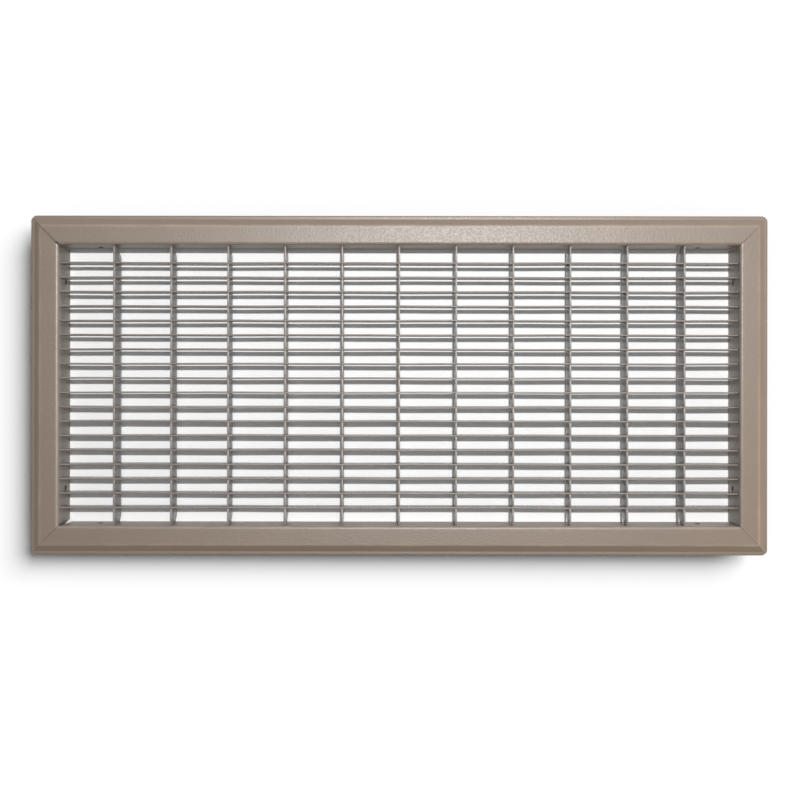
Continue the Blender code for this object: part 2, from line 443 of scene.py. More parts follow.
def install(piece: bpy.types.Object, node: str | None = None) -> None:
    """Put a finished piece on the body, in place of its solid where it has one.

    Args:
        piece: The finished piece.
        node: Name of the solid that it stands for.
    """
    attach(piece, BODY)
    if node:
        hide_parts(node)
    LOG.info("%s: %d faces", piece.name, len(piece.data.polygons))


@dataclass(frozen=True)
class FormedSection:
    """The frame's section, from its outer edge in to the lower edge of its collar.

    Attributes:
        depth: Height of the face above the collar's lower edge.
        sheet: Thickness of the sheet.
        lip_width: Width of the lip round the outside.
        rim_width: Width of the turned-down rim of the lip.
        rim_drop: How far the rim is turned down.
        slope_run: Width of the slope between lip and face.
        face_rise: Height of the face above the lip.
        face_width: Width of the flat face, up to the roll.
        roll_inner_radius: Inner radius of the roll from face to collar.
        crease_inner_radius: Inner radius of the two creases of the slope.
        edge_round: Radius of the sheet's own edges.
        slit_lead: Distance from the roll down to where the slit at a collar's end starts.
        flat_steps: How many lengths each flat is divided into.
        bend_steps: How many lengths each bend is divided into.
        edge_steps: How many lengths each quarter of a sheet edge is divided into.
    """

    depth: float
    sheet: float = 0.0010
    lip_width: float = 0.0037
    rim_width: float = 0.0012
    rim_drop: float = 0.0005
    slope_run: float = 0.0062
    face_rise: float = 0.0050
    face_width: float = 0.0143
    roll_inner_radius: float = 0.0014
    crease_inner_radius: float = 0.0010
    edge_round: float = 0.00045
    slit_lead: float = 0.0002
    flat_steps: tuple[int, ...] = (3, 3, 4, 8, 12)
    bend_steps: tuple[int, ...] = (4, 5, 5, 10)
    edge_steps: int = 3

    @property
    def roll_radius(self) -> float:
        """Outer radius of the roll."""
        return self.roll_inner_radius + self.sheet

    @property
    def overhang(self) -> float:
        """Distance from the outer edge to the collar's inner wall."""
        return self.lip_width + self.slope_run + self.face_width + self.roll_radius

    @property
    def lip_top(self) -> float:
        """Height of the lip."""
        return self.depth - self.face_rise

    def visible_side(self) -> tuple[list[Vector], list[Vector]]:
        """Trace the side of the sheet that shows, with rounded bends and divided flats.

        Returns:
            The points (inwards, upwards), and the unit normal that leaves the sheet at each.
        """
        corners = [
            Vector((self.edge_round, self.lip_top - self.rim_drop)),
            Vector((self.rim_width, self.lip_top)),
            Vector((self.lip_width, self.lip_top)),
            Vector((self.lip_width + self.slope_run, self.depth)),
            Vector((self.overhang, self.depth)),
            Vector((self.overhang, self.edge_round)),
        ]
        outside_bend = self.crease_inner_radius + self.sheet
        radii = (outside_bend, self.crease_inner_radius, outside_bend, self.roll_radius)
        runs = [(end - start).normalized() for start, end in zip(corners, corners[1:])]
        points: list[Vector] = []
        normals: list[Vector] = []
        start = corners[0]
        for index, run in enumerate(runs):
            normal = Vector((-run.y, run.x))
            bends = index < len(radii)
            turn = -run.angle_signed(runs[index + 1]) if bends else 0.0
            reach = radii[index] * math.tan(abs(turn) / 2) if bends else 0.0
            stop = corners[index + 1] - run * reach
            shares = [step / self.flat_steps[index] for step in range(self.flat_steps[index] + 1)]
            if not bends:
                shares.insert(1, self.slit_lead / (stop - start).length)
            for share in shares:
                points.append(start.lerp(stop, share))
                normals.append(normal)
            if not bends:
                break
            hub = radii[index] * math.copysign(1.0, turn)
            centre = stop + normal * hub
            for step in range(1, self.bend_steps[index] + 1):
                spoke = Matrix.Rotation(turn * step / self.bend_steps[index], 2) @ normal
                start = centre - spoke * hub
                if step < self.bend_steps[index]:
                    points.append(start)
                    normals.append(spoke)
        return points, normals

    def sheet_edge(self, point: Vector, normal: Vector, outward: Vector
                   ) -> tuple[list[Vector], list[Vector]]:
        """Round the edge of the sheet from its visible side to its hidden one.

        Args:
            point: Last point of the visible side.
            normal: Normal of the visible side there.
            outward: Direction in which the sheet ends.

        Returns:
            The points round the edge, and their normals.
        """
        points: list[Vector] = []
        normals: list[Vector] = []
        quarter = math.pi / 2
        for first, back in ((1, self.edge_round), (0, self.sheet - self.edge_round)):
            for step in range(first, self.edge_steps + first):
                angle = quarter * step / self.edge_steps + (0.0 if first else quarter)
                spoke = normal * math.cos(angle) + outward * math.sin(angle)
                points.append(point - normal * back + spoke * self.edge_round)
                normals.append(spoke)
        return points, normals

    def ring(self) -> tuple[np.ndarray, np.ndarray, int]:
        """Close the section: visible side, collar edge, hidden side, outer edge.

        Returns:
            The points (inwards, upwards), their normals, and how many are on the visible side.
        """
        visible, normals = self.visible_side()
        hidden = [point - normal * self.sheet for point, normal in zip(visible, normals)]
        lower, lower_normals = self.sheet_edge(visible[-1], normals[-1], Vector((0, -1)))
        outward = (visible[0] - visible[1]).normalized()
        outer, outer_normals = self.sheet_edge(visible[0], normals[0], outward)
        points = [*visible, *lower, *hidden[::-1], *outer[::-1]]
        spokes = [*normals, *lower_normals, *[-n for n in normals[::-1]], *outer_normals[::-1]]
        return np.array(points, float), np.array(spokes, float), len(visible)


@dataclass
class MitredFrame:
    """The frame: two rails and two stiles of one formed section, mitred and welded at the corners.

    Attributes:
        enamel: Finish of the frame.
        length: Outside length.
        width: Outside width.
        section: The formed section.
        corner_radius: Plan radius of the outer corners.
        openings: How far each mitre stands open at its inner end.
        closed_gap: How far every mitre stands open at its outer end.
        collar_gaps: How far the collars stop short of each corner, under the roll and at the lower edge.
        cut_round: Radius of the cut ends.
        hole_diameter: Diameter of the screw holes.
        hole_height: Height of the screw holes above the collar's lower edge.
        hole_from_corner: Distance of the screw holes from the collar's outside corner.
        hole_sides: How many sides a hole has.
        lining_reach: Distance from a hole's axis within which its lining lies, in hole radii.
        lining_tilt: How far the normals of its lining may lean along the axis, where 1 is all the way.
        station_pitch: Distance between rings along a member.
        fold_spread: How far from a fold its lighter paint reaches, partly thinner film and partly painted
            highlight.
        ripple: Height of the sheet's slight ripples.
        ripple_waves: The waves in them: metres per radian, share of the height, share of the phase.
        ripple_phase: Shift of the waves from one member to the next, in radians.
        bead_radius: Radius of the weld bead under each mitre.
        bead_sink: How far a bead is melted into the sheets.
        bead_start: Distance of a bead's outer end from the outer edges.
        bead_sides: How many sides a bead has.
    """

    enamel: Enamel
    length: float
    width: float
    section: FormedSection
    corner_radius: float = 0.0068
    openings: dict[Corner, float] = field(default_factory=lambda: {
        Corner.BOTTOM_LEFT: 0.00012,
        Corner.BOTTOM_RIGHT: 0.00010,
        Corner.TOP_RIGHT: 0.00035,
        Corner.TOP_LEFT: 0.00180,
    })
    closed_gap: float = 0.00005
    collar_gaps: dict[Corner, tuple[float, float]] = field(default_factory=lambda: {
        Corner.BOTTOM_LEFT: (0.0018, 0.0022),
        Corner.BOTTOM_RIGHT: (0.0004, 0.0012),
        Corner.TOP_RIGHT: (0.0016, 0.0014),
        Corner.TOP_LEFT: (0.0026, 0.0006),
    })
    cut_round: float = 0.00015
    hole_diameter: float = 0.0045
    hole_height: float = 0.0097
    hole_from_corner: float = 0.0325
    hole_sides: int = 32
    lining_reach: float = 1.02
    lining_tilt: float = 0.5
    station_pitch: float = 0.0050
    fold_spread: float = 0.0008
    ripple: float = 0.00005
    ripple_waves: tuple[tuple[float, float, float], ...] = ((0.021, 1.0, 1.0), (0.0093, 0.6, 2.1))
    ripple_phase: float = 1.7
    bead_radius: float = 0.0012
    bead_sink: float = 0.0002
    bead_start: float = 0.0030
    bead_sides: int = 12

    def piercing(self) -> GeometryTree:
        """Make the tree that drills a pair of screw holes through a collar.

        Returns:
            The geometry tree.
        """
        tree = GeometryTree("collar_screw_holes", {
            "Hole Diameter": Socket.NUMBER,
            "Hole Reach": Socket.NUMBER,
            "Hole Sides": Socket.COUNT,
            "Along": Socket.NUMBER,
            "Wall": Socket.NUMBER,
            "Height": Socket.NUMBER,
        })
        size = tree.inputs
        drill = tree.add("GeometryNodeMeshCylinder", {
            "Vertices": size["Hole Sides"],
            "Radius": tree.math("MULTIPLY", size["Hole Diameter"], 0.5),
            "Depth": size["Hole Reach"],
        })
        low = tree.vector(tree.math("MULTIPLY", size["Along"], -1.0), size["Wall"], size["Height"])
        high = tree.vector(size["Along"], size["Wall"], size["Height"])
        places = tree.add("GeometryNodeMeshLine", {
            "Count": 2, "Start Location": low, "Offset": high,
        }, mode="END_POINTS")
        drills = tree.add("GeometryNodeInstanceOnPoints", {
            "Points": places, "Instance": drill, "Rotation": (math.pi / 2, 0.0, 0.0),
        })
        cutters = tree.add("GeometryNodeRealizeInstances", {0: drills})
        tree.close(tree.add("GeometryNodeMeshBoolean", {
            "Mesh 1": size["Geometry"], "Mesh 2": cutters,
        }, operation="DIFFERENCE", solver="EXACT"))
        return tree

    def reach(self, inward: np.ndarray, height: np.ndarray, run: float, corner: Corner) -> np.ndarray:
        """Tell how far each line of the section runs from the middle of a member to its end.

        Args:
            inward: Distance of each line from the outer edge.
            height: Height of each line.
            run: Outside length of the member.
            corner: Which corner the end is at.

        Returns:
            Length from the member's middle to its end, for each line.
        """
        section = self.section
        share = smooth_step(inward / section.overhang)
        gap = self.closed_gap + (self.openings[corner] - self.closed_gap) * share
        straight = run / 2 - inward - gap / math.sqrt(2)
        radius = self.corner_radius
        chord = np.sqrt(np.clip(radius**2 - (radius - inward) ** 2, 0.0, None))
        rounded = np.minimum(straight, run / 2 - radius + chord)
        mitre = np.where(inward < radius, rounded, straight)
        collar_top = section.depth - section.roll_radius
        slit = np.interp(height, (0.0, collar_top), self.collar_gaps[corner][::-1])
        below_roll = height < collar_top - section.slit_lead / 2
        on_wall = inward > section.overhang - 2 * section.sheet
        return np.where(below_roll & on_wall, run / 2 - section.overhang - slit, mitre)

    def shell(self, side: Side, run: float) -> bpy.types.Mesh:
        """Make one member as a closed shell, its outer edge on X and its collar towards +Y.

        Args:
            side: Which member it is.
            run: Its outside length.

        Returns:
            The mesh.
        """
        outline, spokes, shown = self.section.ring()
        low, high = (self.reach(outline[:, 0], outline[:, 1], run, corner) for corner in side.corners)
        inner = outline - spokes * self.cut_round
        count = 2 * round(run / self.station_pitch / 2) + 1
        rings = []
        for share in np.linspace(-1.0, 1.0, count):
            along = share * ((low if share < 0 else high) - self.cut_round)
            rings.append(self.lay(along, outline, run, side))
        rings.insert(0, self.lay(-low, inner, run, side))
        rings.append(self.lay(high, inner, run, side))
        size = len(outline)
        faces = []
        for ring in range(len(rings) - 1):
            for spot in range(size):
                following = (spot + 1) % size
                a, b = ring * size, (ring + 1) * size
                faces.append((a + spot, b + spot, b + following, a + following))
        end = self.cap(size, shown)
        last = (len(rings) - 1) * size
        faces += [*end, *[tuple(last + spot for spot in face[::-1]) for face in end]]
        mesh = bpy.data.meshes.new(side.node)
        mesh.from_pydata(np.concatenate(rings).tolist(), [], faces)
        return mesh

    def lay(self, along: np.ndarray, outline: np.ndarray, run: float, side: Side) -> np.ndarray:
        """Place one ring of the section along a member, with the sheet's ripples.

        Args:
            along: Place of each point along the member.
            outline: The ring's points (inwards, upwards).
            run: Outside length of the member.
            side: Which member it is.

        Returns:
            The ring's points in space.
        """
        calm = smooth_step((run / 2 - self.section.overhang - np.abs(along)) / self.section.overhang)
        phase = self.ripple_phase * side.quarters
        wave = sum(share * np.sin(along / pace + lag * phase) for pace, share, lag in self.ripple_waves)
        lift = self.ripple * wave * calm * outline[:, 1] / self.section.depth
        return np.column_stack((along, outline[:, 0], outline[:, 1] - np.abs(lift)))

    def cap(self, size: int, shown: int) -> list[tuple[int, ...]]:
        """List the faces that close a member's low end, by their places in the ring.

        Args:
            size: How many points a ring has.
            shown: How many of them are on the visible side.

        Returns:
            The faces.
        """
        edge = 2 * self.section.edge_steps
        hidden = [2 * shown + edge - 1 - spot for spot in range(shown)]
        faces: list[tuple[int, ...]] = [
            (spot, spot + 1, hidden[spot + 1], hidden[spot]) for spot in range(shown - 1)
        ]
        faces.append(tuple(range(shown - 1, shown + edge + 1)))
        faces.append((*range(hidden[0], size), 0))
        return faces

    def edge_amount(self, mesh: bpy.types.Mesh) -> np.ndarray:
        """Tell how near each vertex of a member lies to a fold or a sheet edge.

        Args:
            mesh: The member's mesh, before it is turned to its side.

        Returns:
            One value per vertex, from 0 to 1.
        """
        section = self.section
        spots = vertices(mesh)[:, 1:]
        tuck = section.roll_radius * (1 - math.sqrt(0.5))
        folds = np.array((
            (section.overhang - tuck, section.depth - tuck),
            (section.lip_width + section.slope_run, section.depth),
            (section.overhang, 0.0),
        ))
        distance = np.linalg.norm(spots[:, None, :] - folds[None], axis=2).min(axis=1)
        return np.exp(-((distance / self.fold_spread) ** 2))

    def wall_amount(self, mesh: bpy.types.Mesh) -> np.ndarray:
        """Tell how upright each vertex of a member stands: 0 on its face, 1 from the roll down.

        Args:
            mesh: The member's mesh, before it is turned to its side.

        Returns:
            One value per vertex, from 0 to 1.
        """
        section = self.section
        inward = vertices(mesh)[:, 1] - section.overhang + section.roll_radius
        return smooth_step(inward / section.roll_radius)

    def bore_amount(self, mesh: bpy.types.Mesh, along: float) -> np.ndarray:
        """Tell which faces of a member line its screw holes.

        Args:
            mesh: The member's mesh, before it is turned to its side.
            along: Distance of the holes from the member's middle.

        Returns:
            One value per face: 1 in a hole, otherwise 0.
        """
        spots = np.array([face.center for face in mesh.polygons])
        turned = np.array([abs(face.normal.y) for face in mesh.polygons]) < self.lining_tilt
        offset = np.hypot(np.abs(spots[:, 0]) - along, spots[:, 2] - self.hole_height)
        return turned & (offset < self.lining_reach * self.hole_diameter / 2)

    def bead(self) -> GeometryTree:
        """Make the tree of a weld bead: a tube along a line.

        Returns:
            The geometry tree.
        """
        tree = GeometryTree("weld_bead", {"Radius": Socket.NUMBER, "Sides": Socket.COUNT})
        size = tree.inputs
        line = tree.add("GeometryNodeMeshToCurve", {"Mesh": size["Geometry"]})
        outline = tree.add("GeometryNodeCurvePrimitiveCircle", {
            "Resolution": size["Sides"], "Radius": size["Radius"],
        })
        tree.close(tree.add("GeometryNodeCurveToMesh", {
            "Curve": line, "Profile Curve": outline, "Fill Caps": True,
        }))
        return tree

    def seam(self, corner: Corner) -> bpy.types.Mesh:
        """Trace the line of the weld bead under one mitre, on the hidden side of the sheet.

        Args:
            corner: Which mitre it is.

        Returns:
            A mesh of one line.
        """
        across, up = corner.value
        depth = self.section.sheet + self.bead_radius - self.bead_sink
        stop = self.section.overhang - self.section.roll_radius
        line = []
        for point, normal in zip(*self.section.visible_side()):
            if self.bead_start <= point.x <= stop:
                inward, height = point - normal * depth
                line.append((across * (self.length / 2 - inward), up * (self.width / 2 - inward), height))
        mesh = bpy.data.meshes.new(corner.name.lower())
        mesh.from_pydata(line, [(spot, spot + 1) for spot in range(len(line) - 1)], [])
        return mesh

    def build(self) -> list[bpy.types.Object]:
        """Make the four members in place of their solids, and weld them together.

        Returns:
            The members and the weld beads.
        """
        material = self.enamel.material()
        piercing = self.piercing()
        section = self.section
        members = []
        for side in Side:
            across = side.quarters % 2
            run, other = (self.width, self.length) if across else (self.length, self.width)
            along = run / 2 - section.overhang + section.sheet - self.hole_from_corner
            member = piercing.grow(f"{side.node}_formed", {
                "Hole Diameter": self.hole_diameter,
                "Hole Reach": section.sheet + 2 * CUTTER_OVERRUN,
                "Hole Sides": self.hole_sides,
                "Along": along,
                "Wall": section.overhang - section.sheet / 2,
                "Height": self.hole_height,
                "Material": material,
            }, self.shell(side, run))
            # Folds marked for the enamel's painted highlight and thinner film.
            mark(member.data, EDGE_ATTRIBUTE, self.edge_amount(member.data))
            # Walls marked for their painted reflection tint and their smoother film.
            mark(member.data, WALL_ATTRIBUTE, self.wall_amount(member.data))
            # Screw-hole linings marked to be painted dark as painted shade.
            mark(member.data, BORE_ATTRIBUTE, self.bore_amount(member.data, along), "FACE")
            turn = Matrix.Rotation(side.quarters * math.pi / 2, 4, "Z")
            member.data.transform(turn @ Matrix.Translation((0, -other / 2, 0)))
            install(member, side.node)
            members.append(member)
        bead = self.bead()
        for corner in Corner:
            weld = bead.grow(f"{corner.name.lower()}_weld_bead", {
                "Radius": self.bead_radius, "Sides": self.bead_sides, "Material": material,
            }, self.seam(corner))
            install(weld)
            members.append(weld)
        return members


@dataclass
class BladeRow:
    """The blades: straight strips on edge, let into the cross bars from the front.

    Attributes:
        enamel: Finish of the blades.
        nodes: Names of the solids, from the bottom rail to the top one.
        edge_round: Radius of the rolled edges of the strip.
        edge_steps: How many lengths each quarter of an edge is divided into.
        edge_spread: How far down the lighter front edge reaches, partly thinner film and partly painted
            highlight.
        end_growth: How much further each end reaches towards the collar than its solid.
        stations: How many points a blade has along its length.
        bow: How far a blade strays from straight, either way.
        bow_length: Length of one stray, there and back.
        bow_phase: Shift of the strays from one blade to the next, in radians.
        quick_rate: How many shorter strays there are in a long one.
        quick_share: How far they reach, as a share of a long one.
    """

    enamel: Enamel
    nodes: list[str]
    edge_round: float = 0.00070
    edge_steps: int = 6
    edge_spread: float = 0.0006
    end_growth: float = 0.0002
    stations: int = 81
    bow: float = 0.00012
    bow_length: float = 0.23
    bow_phase: float = 2.399
    quick_rate: float = 2.7
    quick_share: float = 0.4

    def strip(self) -> GeometryTree:
        """Make the tree of one blade: a rounded strip swept along a slightly wandering line.

        Returns:
            The geometry tree.
        """
        tree = GeometryTree("blade_strip", {
            "Length": Socket.NUMBER,
            "Thickness": Socket.NUMBER,
            "Depth": Socket.NUMBER,
            "Edge Round": Socket.NUMBER,
            "Edge Steps": Socket.COUNT,
            "Stations": Socket.COUNT,
            "Bow": Socket.NUMBER,
            "Bow Length": Socket.NUMBER,
            "Bow Phase": Socket.NUMBER,
            "Quick Rate": Socket.NUMBER,
            "Quick Share": Socket.NUMBER,
            "Place": Socket.VECTOR,
        })
        size = tree.inputs
        half = tree.math("MULTIPLY", size["Length"], 0.5)
        line = tree.add("GeometryNodeCurvePrimitiveLine", {
            "Start": tree.vector(tree.math("MULTIPLY", half, -1.0)), "End": tree.vector(half),
        })
        line = tree.add("GeometryNodeResampleCurve", {"Curve": line, "Count": size["Stations"]})
        place = add_node(tree.group, "ShaderNodeSeparateXYZ", {0: tree.add("GeometryNodeInputPosition")})
        angle = tree.math("DIVIDE", tree.math("MULTIPLY", place.outputs[0], math.tau), size["Bow Length"])
        slow = tree.math("SINE", tree.math("ADD", angle, size["Bow Phase"]))
        quick = tree.math("SINE", tree.math("MULTIPLY_ADD", angle, size["Quick Rate"], size["Bow Phase"]))
        both = tree.math("MULTIPLY_ADD", quick, size["Quick Share"], slow)
        sway = tree.math("MULTIPLY", both, size["Bow"])
        line = tree.add("GeometryNodeSetPosition", {"Geometry": line, "Offset": tree.vector(y=sway)})
        line = tree.add("GeometryNodeSetCurveNormal", {"Curve": line}, mode="Z_UP")
        outline = tree.add("GeometryNodeCurvePrimitiveQuadrilateral", {
            "Width": size["Thickness"], "Height": size["Depth"],
        })
        outline = tree.add("GeometryNodeFilletCurve", {
            "Curve": outline, "Count": size["Edge Steps"], "Radius": size["Edge Round"],
        }, mode="POLY")
        strip = tree.add("GeometryNodeCurveToMesh", {
            "Curve": line, "Profile Curve": outline, "Fill Caps": True,
        })
        tree.close(tree.add("GeometryNodeSetPosition", {"Geometry": strip, "Offset": size["Place"]}))
        return tree

    def build(self) -> list[bpy.types.Object]:
        """Make the blades and put them in place of their solids.

        Returns:
            The blades.
        """
        material = self.enamel.material()
        strip = self.strip()
        blades = []
        for number, node in enumerate(self.nodes):
            low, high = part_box(node)
            blade = strip.grow(f"{node}_strip", {
                "Length": high.x - low.x + 2 * self.end_growth,
                "Thickness": high.y - low.y,
                "Depth": high.z - low.z,
                "Edge Round": self.edge_round,
                "Edge Steps": self.edge_steps,
                "Stations": self.stations,
                "Bow": self.bow,
                "Bow Length": self.bow_length,
                "Bow Phase": self.bow_phase * number,
                "Quick Rate": self.quick_rate,
                "Quick Share": self.quick_share,
                "Place": (low + high) / 2,
                "Material": material,
            })
            mark_strip(blade.data, high.z, self.edge_spread, self.edge_round)
            install(blade, node)
            blades.append(blade)
        return blades


@dataclass
class CrossBars:
    """The cross bars: strips on edge with a slot in the front for each blade.

    Attributes:
        enamel: Finish of the bars.
        nodes: Names of the solids, from the left stile to the right one.
        blades: Names of the blades' solids, from the bottom rail to the top one.
        slot_clearance: Gap between a blade and the floor and sides of its slot.
        end_growth: How much further each end reaches towards the collar than its solid.
        end_slope: Size of the sloped back corners.
        edge_round: Radius of the cut edges.
        edge_spread: How far down the lighter front edge reaches, partly thinner film and partly painted
            highlight.
        bow: How far a bar strays from straight.
        bow_phase: Step from one bar to the next in the wave that the strays follow, in radians.
    """

    enamel: Enamel
    nodes: list[str]
    blades: list[str]
    slot_clearance: float = 0.00006
    end_growth: float = 0.00006
    end_slope: float = 0.0075
    edge_round: float = 0.00015
    edge_spread: float = 0.0006
    bow: float = 0.00010
    bow_phase: float = 1.9

    def slotted_bar(self) -> GeometryTree:
        """Make the tree of one bar: a strip with its slots and its back corners cut away.

        Returns:
            The geometry tree.
        """
        tree = GeometryTree("slotted_bar", {
            "Length": Socket.NUMBER,
            "Thickness": Socket.NUMBER,
            "Depth": Socket.NUMBER,
            "Slot Count": Socket.COUNT,
            "Slot Width": Socket.NUMBER,
            "Slot Depth": Socket.NUMBER,
            "First Slot": Socket.NUMBER,
            "Slot Pitch": Socket.NUMBER,
            "End Slope": Socket.NUMBER,
            "Bow": Socket.NUMBER,
            "Place": Socket.VECTOR,
        })
        size = tree.inputs
        blank = tree.add("GeometryNodeMeshCube", {
            "Size": tree.vector(size["Thickness"], size["Length"], size["Depth"]),
        })
        wide = tree.math("ADD", size["Thickness"], 2 * CUTTER_OVERRUN)
        tall = tree.math("MULTIPLY", size["Slot Depth"], 2.0)
        slot = tree.add("GeometryNodeMeshCube", {"Size": tree.vector(wide, size["Slot Width"], tall)})
        half_depth = tree.math("MULTIPLY", size["Depth"], 0.5)
        row = tree.add("GeometryNodeMeshLine", {
            "Count": size["Slot Count"],
            "Start Location": tree.vector(y=size["First Slot"], z=half_depth),
            "Offset": tree.vector(y=size["Slot Pitch"]),
        })
        slots = tree.add("GeometryNodeInstanceOnPoints", {"Points": row, "Instance": slot})
        facet = tree.math("MULTIPLY", size["End Slope"], math.sqrt(2))
        wedge = tree.add("GeometryNodeMeshCube", {"Size": tree.vector(wide, facet, facet)})
        half_length = tree.math("MULTIPLY", size["Length"], 0.5)
        back = tree.math("MULTIPLY", half_depth, -1.0)
        ends = tree.add("GeometryNodeMeshLine", {
            "Count": 2,
            "Start Location": tree.vector(y=tree.math("MULTIPLY", half_length, -1.0), z=back),
            "Offset": tree.vector(y=half_length, z=back),
        }, mode="END_POINTS")
        wedges = tree.add("GeometryNodeInstanceOnPoints", {
            "Points": ends, "Instance": wedge, "Rotation": (math.pi / 4, 0.0, 0.0),
        })
        cutters = tree.add("GeometryNodeJoinGeometry", {0: slots})
        tree.group.links.new(wedges, cutters.node.inputs[0])
        bar = tree.add("GeometryNodeMeshBoolean", {
            "Mesh 1": blank,
            "Mesh 2": tree.add("GeometryNodeRealizeInstances", {0: cutters}),
        }, operation="DIFFERENCE", solver="EXACT")
        place = add_node(tree.group, "ShaderNodeSeparateXYZ", {0: tree.add("GeometryNodeInputPosition")})
        share = tree.math("DIVIDE", place.outputs[1], half_length)
        belly = tree.math("SUBTRACT", 1.0, tree.math("MULTIPLY", share, share))
        sway = tree.math("MULTIPLY", belly, size["Bow"])
        shift = tree.add("ShaderNodeVectorMath", {0: tree.vector(sway), 1: size["Place"]}, operation="ADD")
        tree.close(tree.add("GeometryNodeSetPosition", {"Geometry": bar, "Offset": shift}))
        return tree

    def build(self) -> list[bpy.types.Object]:
        """Make the bars and put them in place of their solids.

        Returns:
            The bars.
        """
        material = self.enamel.material()
        slotted = self.slotted_bar()
        rows = [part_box(node) for node in self.blades]
        first_low, first_high = rows[0]
        last_low, last_high = rows[-1]
        first = (first_low.y + first_high.y) / 2
        pitch = ((last_low.y + last_high.y) / 2 - first) / (len(rows) - 1)
        bars = []
        for number, node in enumerate(self.nodes):
            low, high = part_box(node)
            centre = (low + high) / 2
            bar = slotted.grow(f"{node}_slotted", {
                "Length": high.y - low.y + 2 * self.end_growth,
                "Thickness": high.x - low.x,
                "Depth": high.z - low.z,
                "Slot Count": len(rows),
                "Slot Width": first_high.y - first_low.y + 2 * self.slot_clearance,
                "Slot Depth": first_high.z - first_low.z + self.slot_clearance,
                "First Slot": first - centre.y,
                "Slot Pitch": pitch,
                "End Slope": self.end_slope,
                "Bow": self.bow * math.sin(self.bow_phase * number),
                "Place": centre,
                "Material": material,
            }, ease=self.edge_round)
            mark_strip(bar.data, high.z, self.edge_spread, self.edge_round)
            install(bar, node)
            bars.append(bar)
        return bars


class Lit(Enum):
    """What a lamp shines on."""

    GRILLE = "grille"
    INNER_TABLE = "table inside the collar"
    OUTER_TABLE = "table round the grille"


class Shine(Enum):
    """Which part of a lamp's light counts."""

    ALL = "all of it"
    GLOSS = "reflections only"
    DIFFUSE = "all but reflections"


@dataclass(frozen=True)
class Lamp:
    """A studio lamp aimed at the origin.

    Attributes:
        name: Name of the lamp.
        place: Where it stands; for a far lamp only the direction counts.
        level: How bright it makes a white level surface at the origin, where 1 is white.
        lit: What it shines on.
        size: Length and width of its panel, or nothing for a far lamp.
        spread: Angle across a far lamp, in degrees.
        tint: Colour of its light.
        shine: Which part of its light counts.
    """

    name: str
    place: tuple[float, float, float]
    level: float
    lit: Lit
    size: tuple[float, float] | None = None
    spread: float = 0.0
    tint: Colour = (1.0, 1.0, 1.0)
    shine: Shine = Shine.ALL

    def build(self, targets: dict[Lit, list[bpy.types.Object]]) -> bpy.types.Object:
        """Make the lamp and link it to what it shines on.

        Args:
            targets: The objects of each target.

        Returns:
            The lamp's object.
        """
        place = Vector(self.place)
        steep = place.z / place.length
        # A level white surface comes out white under pi watts per square metre.
        light = bpy.data.lights.new(self.name, "AREA" if self.size else "SUN")
        if self.size:
            light.shape = "RECTANGLE"
            light.size, light.size_y = self.size
            light.energy = self.level * math.pi**2 * place.length_squared / steep
        else:
            light.angle = math.radians(self.spread)
            light.energy = self.level * math.pi / steep
        light.color = self.tint
        lamp = bpy.data.objects.new(self.name, light)
        lamp.location = place
        lamp.rotation_euler = self.aim().to_euler()
        lamp.visible_camera = False
        lamp.visible_diffuse = self.shine is not Shine.GLOSS
        lamp.visible_glossy = self.shine is not Shine.DIFFUSE
        bpy.context.scene.collection.objects.link(lamp)
        receivers = bpy.data.collections.new(f"{self.name}_lights")
        for obj in targets[self.lit]:
            receivers.objects.link(obj)
        lamp.light_linking.receiver_collection = receivers
        return lamp

    def aim(self) -> Matrix:
        """Turn the lamp towards the origin, with the length of its panel level along X.

        Returns:
            The turn.
        """
        back = Vector(self.place).normalized()
        along = (Vector((1, 0, 0)) - back * back.x).normalized()
        return Matrix((along, back.cross(along), back)).transposed()


